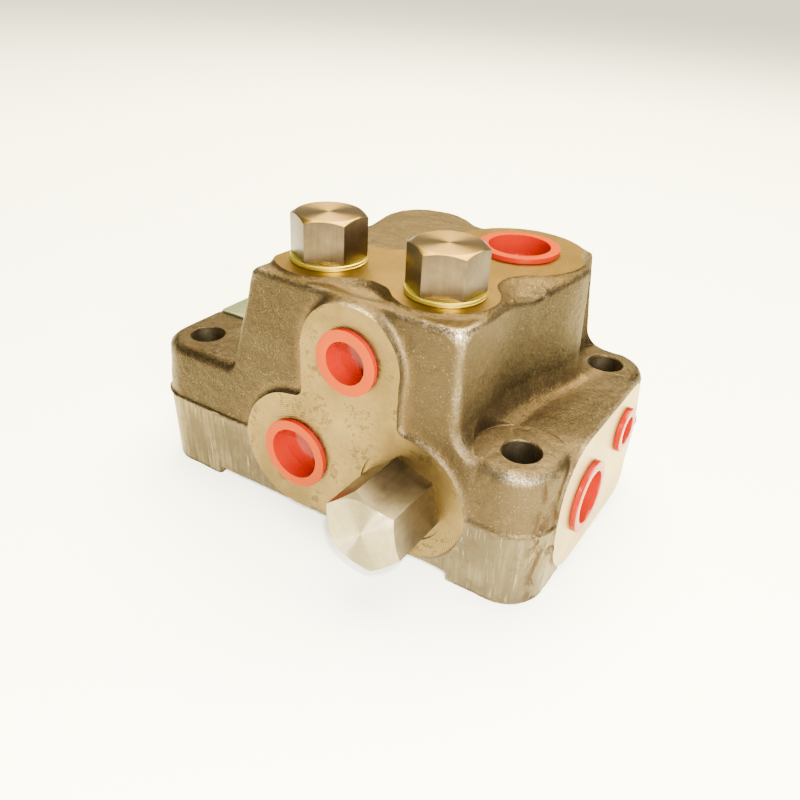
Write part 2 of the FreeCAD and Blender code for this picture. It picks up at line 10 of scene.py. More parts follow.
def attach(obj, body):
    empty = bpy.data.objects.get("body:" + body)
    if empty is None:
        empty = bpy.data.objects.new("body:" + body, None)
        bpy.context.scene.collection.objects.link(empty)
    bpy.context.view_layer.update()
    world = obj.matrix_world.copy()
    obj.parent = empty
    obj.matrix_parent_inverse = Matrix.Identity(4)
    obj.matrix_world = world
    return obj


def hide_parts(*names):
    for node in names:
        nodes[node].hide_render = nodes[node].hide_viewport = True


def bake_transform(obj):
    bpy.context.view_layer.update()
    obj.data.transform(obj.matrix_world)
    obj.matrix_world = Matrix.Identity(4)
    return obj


# Looks for the hydraulic monoblock valve. Lengths here are millimetres in the CAD frame
# (origin between the mounting holes on the plane of the feet) until a mesh is written.
MM = 0.001
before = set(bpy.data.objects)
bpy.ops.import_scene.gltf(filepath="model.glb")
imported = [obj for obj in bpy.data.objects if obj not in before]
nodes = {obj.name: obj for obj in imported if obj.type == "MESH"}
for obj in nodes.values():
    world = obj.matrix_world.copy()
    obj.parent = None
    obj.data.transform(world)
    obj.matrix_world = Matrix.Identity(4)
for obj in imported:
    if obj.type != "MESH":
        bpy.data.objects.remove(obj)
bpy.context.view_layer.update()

# ---- dimensions shared with the CAD ------------------------------------------------------
HOLE_R, HOLE_X, HOLE_Y = 7.15, 74.6, 41.35
CORNER_R = 16.8
Z_RECESS, Z_PART, Z_FLANGE, Z_TOP = 3.3, 32.8, 57.0, 102.6
Y_FRONT, X_SIDE, Y_REAR = -59.0, 92.2, 56.6
RELIEF_R = 17.2
FOOT_X, FOOT_Y = 57.0, 24.0
PLUG_LEFT, PLUG_RIGHT, TOP_PORT = (-17.4, -31.0), (33.9, -31.0), (35.3, 25.8)
BOSS_R = (20.5, 19.5, 27.6)   # bosses under the three places above
BLEND_R = (14.0, 14.0, 25.0)  # hollow arcs between one boss and the next
SPOOL = (37.4, 31.2)
LOW_PORT, HIGH_PORT = (-11.5, 31.4), (12.4, 79.3)
SIDE_BIG, SIDE_SMALL = (-14.7, 29.7), (21.0, 41.2)
SPOOL_THREAD_R, SPOOL_LENGTH = 13.6, 116.0
SPOTFACE_R, SPOTFACE_DEPTH = 18.3, 0.8
REAR_SPOTFACE_R, REAR_PAD_R = 17.5, 20.5
CAVITY_THREAD_R, CAVITY_BORE_R, CAVITY_PASSAGE_R = 11.11, 9.0, 6.0
CAVITY_THREAD_END, CAVITY_SEAT_Z = 86.6, 64.0
GALLERY_R, GALLERY_PLUG_R, GALLERY_Z = 4.0, 4.7, 79.3
GALLERY_PLUG_IN, GALLERY_MOUTH = 31.5, 60.0
# each port: mouth centre, direction out, thread radius, mouth radius, depth, passage radius and depth
PORTS = {
    "top": ((*TOP_PORT, Z_TOP), (0, 0, 1), 13.49, 14.1, 19.0, 9.5, 58.0),
    "front_lower": ((LOW_PORT[0], Y_FRONT, LOW_PORT[1]), (0, -1, 0), 11.11, 11.7, 17.0, 8.0, 32.0),
    "front_upper": ((HIGH_PORT[0], Y_FRONT, HIGH_PORT[1]), (0, -1, 0), 9.53, 10.1, 16.0, 6.5, 30.0),
    "side_large": ((X_SIDE, *SIDE_BIG), (1, 0, 0), 11.11, 11.7, 17.0, 8.0, 40.0),
    "side_small": ((X_SIDE, *SIDE_SMALL), (1, 0, 0), 7.14, 7.7, 14.0, 4.0, 52.0),
}
MOUTH_DEPTH = 7.0
THREAD_PITCH = 1.8
DRAFT = math.tan(math.radians(3.0))

# ---- dimensions of the cast skin, which only this model has --------------------------------
# a skew is how far a wall moves out for each mm along Y, and a draft for each mm down
FRONT_STEP, FRONT_DRAFT = 0.85, 0.0445  # cast front behind the machined face
PART_STEP = 0.35                        # the lower mould half is this much wider
LEFT_X, LEFT_Y = -34.9, -51.0           # left wall of the tower, at the top
LEFT_SKEW, LEFT_DRAFT = 0.058, 0.2456
ACROSS_LEFT = 0.97                      # distance across the slanted wall for each mm along X
RIGHT_X, RIGHT_Y = 55.0, -50.0          # right wall of the tower, at the top
RIGHT_SKEW = 0.09
BACK_Y, WALL_DRAFT = 43.5, 0.05
VALLEY_Y, VALLEY_WIDTH, VALLEY_DEPTH = -20.0, 12.0, 2.0  # dip in the right wall
PORT_BOSS_DRAFT = 0.03
CORNER_BOSS, CORNER_BOSS_R, CORNER_BOSS_DRAFT = (45.0, 36.0), 15.5, 0.16
LOBE, LOBE_R, LOBE_DRAFT = (-14.0, 37.3), 18.2, 0.06     # round lobe at the back
NOTCH, NOTCH_SIZE, NOTCH_DEPTH = (56.0, -4.0), (10.0, 14.0), 3.5    # low spot beside the top port
SCOOP, SCOOP_SIZE = (9.5, -46.0, 105.0), (14.0, 7.0, 6.0)  # hollow in front of the machined top
PAD_LOW_R, PAD_SPOOL_R, PAD_HIGH_R = 25.4, 25.6, 21.6
PAD_TOP_Z, PAD_DEPTH, PAD_DRAFT = 101.2, 9.0, 0.30
SIDE_PAD_Z, SIDE_PAD_HALF_Z, SIDE_PAD_DRAFT = 31.2, 27.0, 0.08
SCAB_X, SCAB_DEPTH, SCAB_WIDTH = 91.8, 1.8, 3.2
SCABS = ((-45.5, 9.5, 5.0), (-44.5, 22.0, 2.6))  # y, z and half height of flaked spots
FINE_BUMPS, BROAD_BUMPS = (2.2, 0.045), (9.0, 0.08)  # size across and height
SHARP_ANGLE = math.radians(34)
GRID = 0.7


# ---- casting as a distance field ---------------------------------------------------------
# corners of the sampled block
LOW, HIGH = (-96.0, -66.0, -4.0), (96.0, 62.0, 108.0)
counts = [int((h - l) / GRID) + 1 for l, h in zip(LOW, HIGH)]
xs, ys, zs = (LOW[i] + GRID * np.arange(counts[i], dtype=np.float32) for i in range(3))
X, Y, Z = xs[:, None, None], ys[None, :, None], zs[None, None, :]


def fillet_union(a, b, r):
    """Both solids, with a fillet of radius r where they meet."""
    return np.maximum(r, np.minimum(a, b)) - np.hypot(np.maximum(r - a, 0), np.maximum(r - b, 0))


def round_common(a, b, r):
    """What two solids share, with its new edges rounded to radius r."""
    return np.minimum(-r, np.maximum(a, b)) + np.hypot(np.maximum(r + a, 0), np.maximum(r + b, 0))


def rounded_rectangle(u, v, half_u, half_v, r):
    """Distance to a rectangle whose corners have radius r."""
    qu, qv = np.abs(u) - half_u + r, np.abs(v) - half_v + r
    return np.hypot(np.maximum(qu, 0), np.maximum(qv, 0)) + np.minimum(np.maximum(qu, qv), 0) - r


def disc(u, v, centre, r):
    """Distance to a circle."""
    return np.hypot(u - centre[0], v - centre[1]) - r


def ellipsoid(centre, sizes):
    """1 on an ellipsoid with these half sizes, less inside and more outside."""
    parts = [((axis - middle) / size) ** 2 for axis, middle, size in zip((X, Y, Z), centre, sizes)]
    return np.sqrt(sum(parts))


def ramp(value, start, end):
    """0 before start, 1 after end and smooth between."""
    t = np.clip((value - start) / (end - start), 0, 1)
    return t * t * (3 - 2 * t)


def smoothed(field, size):
    """Field with detail finer than about this many millimetres blurred away."""
    spectrum = np.fft.rfftn(field)
    for axis, n in enumerate(counts):
        f = np.fft.rfftfreq(n, GRID) if axis == 2 else np.fft.fftfreq(n, GRID)
        shape = [1, 1, 1]
        shape[axis] = len(f)
        spectrum *= np.exp(-(np.pi * size * 0.5 * f) ** 2).reshape(shape)
    return np.fft.irfftn(spectrum, counts).astype(np.float32)


def cast_noise(size, seed):
    """Smooth random field whose bumps are about this many millimetres across."""
    field = smoothed(np.random.default_rng(seed).standard_normal(counts).astype(np.float32), size)
    return field / field.std()


def sample(field, points):
    """Field values at points in millimetres, by trilinear interpolation."""
    at = (points - np.array(LOW)) / GRID
    base = np.clip(np.floor(at).astype(int), 0, np.array(counts) - 2)
    part = np.clip(at - base, 0, 1)
    total = np.zeros(len(points))
    for corner in range(8):
        step = np.array([corner >> 2 & 1, corner >> 1 & 1, corner & 1])
        weight = np.prod(np.where(step, part, 1 - part), axis=1)
        total += weight * field[tuple((base + step).T)]
    return total


def blend_disc(a, ra, b, rb, r):
    """Centre of the circle of radius r that touches two bosses on the right of a-to-b."""
    span = math.hypot(b[0] - a[0], b[1] - a[1])
    u = ((b[0] - a[0]) / span, (b[1] - a[1]) / span)
    forward = ((ra + r) ** 2 - (rb + r) ** 2 + span ** 2) / (2 * span)
    aside = math.sqrt((ra + r) ** 2 - forward ** 2)
    return a[0] + u[0] * forward + u[1] * aside, a[1] + u[1] * forward - u[0] * aside


def polygon(u, v, corners):
    """Distance to a polygon given counter-clockwise."""
    best = None
    inside = None
    for i, a in enumerate(corners):
        b = corners[(i + 1) % len(corners)]
        ex, ey = b[0] - a[0], b[1] - a[1]
        t = np.clip(((u - a[0]) * ex + (v - a[1]) * ey) / (ex * ex + ey * ey), 0, 1)
        d = np.hypot(u - a[0] - t * ex, v - a[1] - t * ey)
        best = d if best is None else np.minimum(best, d)
        crosses = ((a[1] > v) != (b[1] > v)) & (u < ex * (v - a[1]) / (ey or 1e-9) + a[0])
        inside = crosses if inside is None else inside ^ crosses
    return np.where(inside, -best, best)


def top_outline():
    """Outline of the machined top: three bosses, blended by three hollow arcs."""
    centres = (PLUG_LEFT, PLUG_RIGHT, TOP_PORT)
    blends = [blend_disc(centres[i], BOSS_R[i], centres[(i + 1) % 3], BOSS_R[(i + 1) % 3], BLEND_R[i])
              for i in range(3)]
    star = [p for pair in zip(centres, blends) for p in pair]
    area = polygon(X, Y, star)
    for centre, r in zip(centres, BOSS_R):
        area = np.minimum(area, disc(X, Y, centre, r))
    for centre, r in zip(blends, BLEND_R):
        area = np.maximum(area, -disc(X, Y, centre, r))
    return area


def flange_side():
    """Drafted sides of the flange, a little wider below the parting plane."""
    rise = np.abs(Z - Z_PART) * DRAFT
    step = PART_STEP * (1 - ramp(Z, Z_PART - 0.5, Z_PART + 0.3))
    half_x, half_y = HOLE_X + CORNER_R - rise, HOLE_Y + CORNER_R - rise
    return rounded_rectangle(X, Y, half_x, half_y, CORNER_R - rise) - step


def flange():
    """Flange with its top edge rounded and the underside cut away between the feet."""
    solid = round_common(flange_side(), Z - Z_FLANGE, 4.5)
    solid = np.maximum(solid, -2.0 - Z)
    slot = np.maximum(np.minimum(np.abs(X) - FOOT_X, np.abs(Y) - FOOT_Y), Z - Z_RECESS)
    return round_common(solid, -slot, 1.2)


def cast_front():
    """Y of the cast front wall at each height."""
    return Y_FRONT + FRONT_STEP + (Z - Z_PART) * FRONT_DRAFT


def tower_sides():
    """Slanted block with the port boss, a corner boss and the back lobe grown onto it."""
    drop = Z_TOP - Z
    left = (LEFT_X + LEFT_SKEW * (Y - LEFT_Y) - LEFT_DRAFT * drop - X) * ACROSS_LEFT
    valley = VALLEY_DEPTH * np.exp(-((Y - VALLEY_Y) / VALLEY_WIDTH) ** 2)
    right = X - (RIGHT_X + RIGHT_SKEW * (Y - RIGHT_Y) + WALL_DRAFT * drop - valley)
    front = cast_front() - Y
    back = Y - (BACK_Y + WALL_DRAFT * drop)
    block = round_common(left, front, 3.0)
    block = round_common(block, right, 4.0)
    block = round_common(block, back, 9.0)
    port = disc(X, Y, TOP_PORT, BOSS_R[2] + PORT_BOSS_DRAFT * drop)
    corner = disc(X, Y, CORNER_BOSS, CORNER_BOSS_R + CORNER_BOSS_DRAFT * drop)
    lobe = disc(X, Y, LOBE, LOBE_R + LOBE_DRAFT * drop)
    return fillet_union(fillet_union(block, np.minimum(port, corner), 12.0), lobe, 10.0)


def cast_top(outline):
    """The as-cast top falls away from the machined outline, most in the notch by the top port."""
    across, along = (X - NOTCH[0]) / NOTCH_SIZE[0], (Y - NOTCH[1]) / NOTCH_SIZE[1]
    notch = NOTCH_DEPTH * np.exp(-across ** 2 - along ** 2)
    lowest = 0.9 + 0.3 * ramp(Y, 10, 45) + notch
    return Z - (Z_TOP - 0.3 - np.minimum(0.5 * np.maximum(outline, 0), lowest))


def front_pad():
    """Cast pad behind the machined front, its sides drafted back into the wall."""
    circles = fillet_union(disc(X, Z, LOW_PORT, PAD_LOW_R), disc(X, Z, SPOOL, PAD_SPOOL_R), 6.0)
    base = np.maximum(np.abs(X - 13.0) - 24.5, np.abs(Z - 19.3) - 12.1)
    stem = np.maximum(np.abs(X - HIGH_PORT[0]) - 21.4, np.abs(Z - 55.0) - 24.3)
    lobe = np.minimum(disc(X, Z, HIGH_PORT, PAD_HIGH_R), stem)
    area = fillet_union(np.minimum(circles, base), lobe, 4.0)
    slab = np.maximum(Y_FRONT - 2.5 - Y, Y - Y_FRONT - PAD_DEPTH)
    solid = np.maximum(area - (Y - Y_FRONT) * PAD_DRAFT, slab)
    return round_common(solid, Z - PAD_TOP_Z, 2.5)


def side_pad():
    """Cast pad behind the machined end face: round at the front, nearly square at the back."""
    height = Z - SIDE_PAD_Z
    area = rounded_rectangle(Y + 2.9, height, 39.4, SIDE_PAD_HALF_Z, 21.0)
    area = np.minimum(area, rounded_rectangle(Y - 6.5, height, 30.0, SIDE_PAD_HALF_Z, 8.0))
    slab = np.maximum(X - X_SIDE - 2.5, X_SIDE - 24 - X)
    return np.maximum(area + (X_SIDE - X) * SIDE_PAD_DRAFT, slab)


def casting_field():
    """Distance to the raw casting, before it is machined."""
    outline = top_outline()
    sides = tower_sides()
    block = round_common(np.maximum(sides, Z_PART - Z), cast_top(outline), 2.5)
    reach = 2.5 + 6.5 * ramp(X, 20, 52)
    body = fillet_union(block, flange(), reach)
    body = np.maximum(body, cast_front() - PART_STEP * (Z < Z_PART) - Y)
    scoop = (ellipsoid(SCOOP, SCOOP_SIZE) - 1) * min(SCOOP_SIZE)
    body = round_common(body, -np.maximum(scoop, 0.6 - outline), 2.5)
    boss = np.maximum(outline - (Z_TOP - Z) * 0.9, np.maximum(Z - Z_TOP - 3, Z_TOP - 14 - Z))
    body = np.minimum(body, np.maximum(boss, sides))
    body = fillet_union(body, front_pad(), 1.8)
    body = fillet_union(body, side_pad(), 1.5)
    ring = np.maximum(disc(X, Z, SPOOL, REAR_PAD_R), np.maximum(Y - Y_REAR - 3, Y_REAR - 8 - Y))
    body = fillet_union(body, ring, 1.5)
    flash = np.hypot((Z - Z_PART) / 0.55, flange_side() / 0.9) - 1
    body = np.minimum(body, np.maximum(flash * 0.55, Y_FRONT + 0.1 - Y))
    for y, z, long in SCABS:
        scab = ellipsoid((SCAB_X, y, z), (SCAB_DEPTH, SCAB_WIDTH, long)) - 1
        body = round_common(body, -scab * SCAB_DEPTH, 0.6)
    ground = (1 - ramp(Z, Z_PART - 1, Z_PART + 0.5)) * ramp(Z, 3, 5)
    rough = 1 - 0.85 * ground
    fine = FINE_BUMPS[1] * cast_noise(FINE_BUMPS[0], 3)
    broad = BROAD_BUMPS[1] * cast_noise(BROAD_BUMPS[0], 5)
    return body + rough * (fine + broad)


def mesh_object(name, points, faces):
    """New object in the scene, its points in metres."""
    mesh = bpy.data.meshes.new(name)
    mesh.from_pydata(points, [], faces)
    mesh.update()
    obj = bpy.data.objects.new(name, mesh)
    bpy.context.scene.collection.objects.link(obj)
    return obj


def field_object(name, field):
    """Surface where a distance field is zero."""
    grid = openvdb.FloatGrid()
    grid.copyFromArray(np.ascontiguousarray(field, dtype=np.float32))
    points, quads = grid.convertToQuads(isovalue=0.0)[:2]
    points = (points * GRID + np.array(LOW)) * MM
    return mesh_object(name, points.tolist(), quads.tolist())


# ---- machined cuts -----------------------------------------------------------------------
def lathe(name, profile, origin, axis, steps=96, hollow=False):
    """Solid of revolution from (radius, distance along the axis) pairs; a hollow one is a ring."""
    turn = Vector(axis).to_track_quat("Z", "Y").to_matrix()
    points, faces = [], []
    for radius, along in profile:
        for k in range(steps):
            angle = 2 * math.pi * k / steps
            p = turn @ Vector((radius * math.cos(angle), radius * math.sin(angle), along))
            points.append((Vector(origin) + p) * MM)
    rows = len(profile)
    for i in range(rows if hollow else rows - 1):
        low, high = i * steps, (i + 1) % rows * steps
        for k in range(steps):
            j = (k + 1) % steps
            faces.append((low + k, low + j, high + j, high + k))
    if not hollow:
        faces.append(tuple(reversed(range(steps))))
        faces.append(tuple((rows - 1) * steps + k for k in range(steps)))
    return mesh_object(name, points, faces)


def block(name, low, high):
    """Box between two opposite corners."""
    across, along, up = zip(low, high)
    corners = [(x, y, z) for x in across for y in along for z in up]
    faces = [(0, 1, 3, 2), (4, 6, 7, 5), (0, 4, 5, 1), (2, 3, 7, 6), (0, 2, 6, 4), (1, 5, 7, 3)]
    return mesh_object(name, [Vector(c) * MM for c in corners], faces)


def port_profile(thread_r, mouth_r, depth, passage_r, passage_depth):
    """From the passage's end out to beyond the mouth, with thread grooves on the wall."""
    profile = [(passage_r, -passage_depth), (passage_r, -depth - (thread_r - passage_r) * 0.6)]
    root = thread_r - 0.9
    turns = int((depth - MOUTH_DEPTH - 0.5) / THREAD_PITCH)
    profile.append((root, -depth))
    for k in range(turns):
        base = -depth + 0.4 + k * THREAD_PITCH
        profile.append((root, base))
        profile.append((thread_r, base + THREAD_PITCH * 0.5))
        profile.append((root, base + THREAD_PITCH * 0.92))
    profile.append((root, -MOUTH_DEPTH))
    profile.append((mouth_r, -MOUTH_DEPTH + 0.4))
    profile.append((mouth_r, 0.0))
    profile.append((mouth_r, 3.0))
    return profile


def cutters():
    """Tools for every machined face, bore and port."""
    far = 130.0
    cuts = [
        block("cut_top", (-far, -far, Z_TOP), (far, far, far)),
        block("cut_front", (-far, -far, -20), (far, Y_FRONT, far)),
        block("cut_side", (X_SIDE, -far, -20), (far, far, far)),
        block("cut_feet", (-far, -far, -20), (far, far, 0)),
        lathe("cut_spotface", [(SPOTFACE_R, -SPOTFACE_DEPTH), (SPOTFACE_R, 5)],
              (SPOOL[0], Y_FRONT, SPOOL[1]), (0, -1, 0)),
        lathe("cut_spool", [(SPOOL_THREAD_R, -SPOOL_LENGTH), (SPOOL_THREAD_R, 5)],
              (SPOOL[0], Y_FRONT, SPOOL[1]), (0, -1, 0)),
        lathe("cut_rear", [(REAR_SPOTFACE_R, 0), (REAR_SPOTFACE_R, 8)],
              (SPOOL[0], Y_REAR, SPOOL[1]), (0, 1, 0)),
    ]
    for sx in (-1, 1):
        for sy in (-1, 1):
            at = (sx * HOLE_X, sy * HOLE_Y, 0)
            profile = [(HOLE_R, -3), (HOLE_R, Z_FLANGE - 0.4), (HOLE_R + 0.5, Z_FLANGE + 0.1),
                       (RELIEF_R - 0.3, Z_FLANGE + 0.1), (RELIEF_R, Z_FLANGE + 0.4), (RELIEF_R, far)]
            cuts.append(lathe("cut_mount", profile, at, (0, 0, 1)))
    for name, (mouth, out, *sizes) in PORTS.items():
        cuts.append(lathe("cut_" + name, port_profile(*sizes), mouth, out))
    for x, y in (PLUG_LEFT, PLUG_RIGHT):
        profile = [(CAVITY_PASSAGE_R, SPOOL[1]), (CAVITY_PASSAGE_R, CAVITY_SEAT_Z),
                   (CAVITY_BORE_R, CAVITY_SEAT_Z), (CAVITY_BORE_R, CAVITY_THREAD_END),
                   (CAVITY_THREAD_R, CAVITY_THREAD_END), (CAVITY_THREAD_R, far)]
        cuts.append(lathe("cut_cavity", profile, (x, y, 0), (0, 0, 1)))
    gallery = [(GALLERY_R, -PLUG_RIGHT[0]), (GALLERY_R, GALLERY_PLUG_IN),
               (GALLERY_PLUG_R, GALLERY_PLUG_IN), (GALLERY_PLUG_R, GALLERY_MOUTH)]
    cuts.append(lathe("cut_gallery", gallery, (0, PLUG_LEFT[1], GALLERY_Z), (-1, 0, 0)))
    return cuts


def apply_modifiers(obj):
    """Makes the object's mesh what its modifiers show."""
    graph = bpy.context.evaluated_depsgraph_get()
    mesh = bpy.data.meshes.new_from_object(obj.evaluated_get(graph))
    old = obj.data
    obj.modifiers.clear()
    obj.data = mesh
    bpy.data.meshes.remove(old)


def smooth(mesh):
    """Smooth shading, creased at every sharp edge."""
    mesh.polygons.foreach_set("use_smooth", np.ones(len(mesh.polygons), bool))
    mesh.set_sharp_from_angle(angle=SHARP_ANGLE)


def cut_all(obj, cuts):
    """Takes each cutter out of the object and deletes the cutter."""
    for cut in cuts:
        modifier = obj.modifiers.new("cut", "BOOLEAN")
        modifier.operation = "DIFFERENCE"
        modifier.solver = "MANIFOLD"
        modifier.object = cut
        apply_modifiers(obj)
        bpy.data.objects.remove(cut)


# ---- materials ---------------------------------------------------------------------------
CAST_DARK, CAST_LIGHT = (0.0170, 0.0118, 0.0053), (0.027, 0.0188, 0.0086)
CAST_SPECK = (0.064, 0.044, 0.0205)
# painted light: paler cast colour at the front right, where the light falls
CAST_FRONT_RIGHT_LIGHT = (0.088, 0.062, 0.030)
# painted light: paler colour in the hollows, standing in for fill light there
CAST_HOLLOW_LIGHT = (0.125, 0.080, 0.032)
# painted light: paler, warmer colour on the top of the casting, where light from above falls
CAST_TOP_LIGHT = (0.058, 0.037, 0.0125)
CAST_RUST = (0.055, 0.021, 0.006)
# pale iron for the rubbed edges, and for the painted highlights and glints
BARE_IRON_AND_HIGHLIGHT = (0.56, 0.47, 0.31)
RUST = (0.030, 0.016, 0.0075)
STAIN = (0.042, 0.025, 0.009)
CHATTER_DARK, CHATTER_PALE = (0.060, 0.045, 0.021), (0.130, 0.102, 0.052)
LINISHED_DARK, LINISHED_STAIN = (0.050, 0.038, 0.020), (0.070, 0.042, 0.018)
# the second colour on the next line is painted light at the front right of the flange sides
LINISHED_SCRATCH, LINISHED_FRONT_RIGHT_LIGHT = (0.21, 0.175, 0.095), (0.17, 0.143, 0.088)
FACED_TOP = ((0.090, 0.051, 0.0062), (0.122, 0.070, 0.0095))
MILLED_FRONT = ((0.120, 0.080, 0.026), (0.190, 0.132, 0.048))
MILLED_SIDE = ((0.29, 0.22, 0.085), (0.37, 0.29, 0.12))
BORED_IRON = ((0.16, 0.12, 0.07), (0.30, 0.24, 0.14))
FACE_FRONT, FACE_TOP = (0.37, 0.315, 0.18), (0.235, 0.137, 0.019)
FLATS_TOP = ((0.060, 0.043, 0.023), (0.086, 0.063, 0.036))
FLATS_FRONT = ((0.085, 0.066, 0.040), (0.125, 0.099, 0.060))
ZINC = ((0.66, 0.47, 0.022), (0.60, 0.50, 0.055))
# one red plastic in two colours: the rim paler orange as painted light, the cup deeper red as painted
# shade
CAP_RIM_LIT = ((0.22, 0.025, 0.0001), (0.25, 0.034, 0.0002))
CAP_CUP_SHADED = ((0.16, 0.0028, 0.0001), (0.20, 0.006, 0.0001))
WARM = (1.0, 0.92, 0.76, 1)  # tint of oiled iron seen edge-on

FRONT_RIGHT_LIGHT_X, FRONT_RIGHT_LIGHT_Y = (-0.06, 0.03), (-0.015, -0.040)          # metres, from unlit to fully in the painted light
RUSTY_X, RUSTY_Y = (0.0855, 0.0885), (-0.0405, -0.0430)         # metres, from clean to rusty
# heights over which the painted light on the top fades in
TOP_LIGHT_Z = (0.0985, 0.1005)                                   # metres
CUTTER_ARCS = 330  # how closely the wide cutter arcs follow each other


class Nodes:
    """Short hand for building one material's node tree."""

    def __init__(self, name):
        self.material = bpy.data.materials.new(name)
        self.material.use_nodes = True
        self.tree = self.material.node_tree
        self.tree.nodes.clear()
        self.output = self.add("ShaderNodeOutputMaterial")
        self.shader = self.add("ShaderNodeBsdfPrincipled")
        self.link(self.shader.outputs[0], self.output.inputs[0])
        self.coords = self.add("ShaderNodeTexCoord").outputs["Object"]

    def add(self, kind, **settings):
        node = self.tree.nodes.new(kind)
        for key, value in settings.items():
            setattr(node, key, value)
        return node

    def link(self, source, target):
        self.tree.links.new(source, target)

    def put(self, target, value):
        """Feeds an input from another node's output, or sets it."""
        if isinstance(value, bpy.types.NodeSocket):
            self.link(value, target)
        else:
            target.default_value = value

    def stretch(self, scale):
        """The piece's coordinates, scaled along each axis."""
        node = self.add("ShaderNodeMapping")
        self.link(self.coords, node.inputs["Vector"])
        node.inputs["Scale"].default_value = scale
        return node.outputs[0]

    def noise(self, size, detail=3.0, rough=0.55, vector=None, distortion=0.0):
        """Noise whose bumps are about this many millimetres across."""
        node = self.add("ShaderNodeTexNoise")
        self.link(vector or self.coords, node.inputs["Vector"])
        node.inputs["Scale"].default_value = 1 / (size * MM)
        node.inputs["Detail"].default_value = detail
        node.inputs["Roughness"].default_value = rough
        node.inputs["Distortion"].default_value = distortion
        return node.outputs["Fac"]

    def steps(self, value, low, high):
        """Maps low..high of a value to 0..1."""
        node = self.add("ShaderNodeMapRange")
        self.put(node.inputs["Value"], value)
        node.inputs["From Min"].default_value = low
        node.inputs["From Max"].default_value = high
        return node.outputs[0]

    def between(self, value, low, high):
        """Maps 0..1 to low..high."""
        node = self.add("ShaderNodeMapRange")
        self.put(node.inputs["Value"], value)
        node.inputs["To Min"].default_value = low
        node.inputs["To Max"].default_value = high
        return node.outputs[0]

    def maths(self, operation, a, b=0.0):
        node = self.add("ShaderNodeMath", operation=operation)
        self.put(node.inputs[0], a)
        self.put(node.inputs[1], b)
        return node.outputs[0]

    def mix(self, factor, a, b):
        node = self.add("ShaderNodeMix", data_type="RGBA")
        self.put(node.inputs["Factor"], factor)
        self.put(node.inputs["A"], (*a, 1) if isinstance(a, tuple) else a)
        self.put(node.inputs["B"], (*b, 1) if isinstance(b, tuple) else b)
        return node.outputs["Result"]

    def bump(self, height, distance, normal=None):
        """Normal of a surface that rises and falls by this many millimetres."""
        node = self.add("ShaderNodeBump")
        self.put(node.inputs["Height"], height)
        node.inputs["Distance"].default_value = distance * MM
        node.inputs["Strength"].default_value = 1.0
        if normal:
            self.link(normal, node.inputs["Normal"])
        return node.outputs[0]

    def finish(self, colour, roughness, normal=None, metallic=0.0, **extra):
        """Sets the shader's inputs and gives back the material."""
        self.put(self.shader.inputs["Base Color"], (*colour, 1) if isinstance(colour, tuple) else colour)
        self.put(self.shader.inputs["Roughness"], roughness)
        self.put(self.shader.inputs["Metallic"], metallic)
        if normal:
            self.link(normal, self.shader.inputs["Normal"])
        for key, value in extra.items():
            self.put(self.shader.inputs[key.replace("_", " ")], value)
        return self.material


def position(n):
    """The piece's own coordinates, in metres, by axis name."""
    node = n.add("ShaderNodeSeparateXYZ")
    n.link(n.coords, node.inputs[0])
    return node.outputs


def rusty_corner(n):
    """1 on flaky brown patches down the flange corner beside the end pad, 0 elsewhere."""
    at = position(n)
    near = n.maths("MULTIPLY", n.steps(at["X"], *RUSTY_X), n.steps(at["Y"], *RUSTY_Y))
    flakes = n.steps(n.noise(6.0, 5, 0.7, n.stretch((1.0, 1.0, 0.45)), 0.5), 0.47, 0.53)
    return n.maths("MULTIPLY", near, flakes)


def lit_front_right(n):
    """1 at the front right, where the painted light falls most, falling to 0 elsewhere."""
    at = position(n)
    return n.maths("MULTIPLY", n.steps(at["X"], *FRONT_RIGHT_LIGHT_X), n.steps(at["Y"], *FRONT_RIGHT_LIGHT_Y))


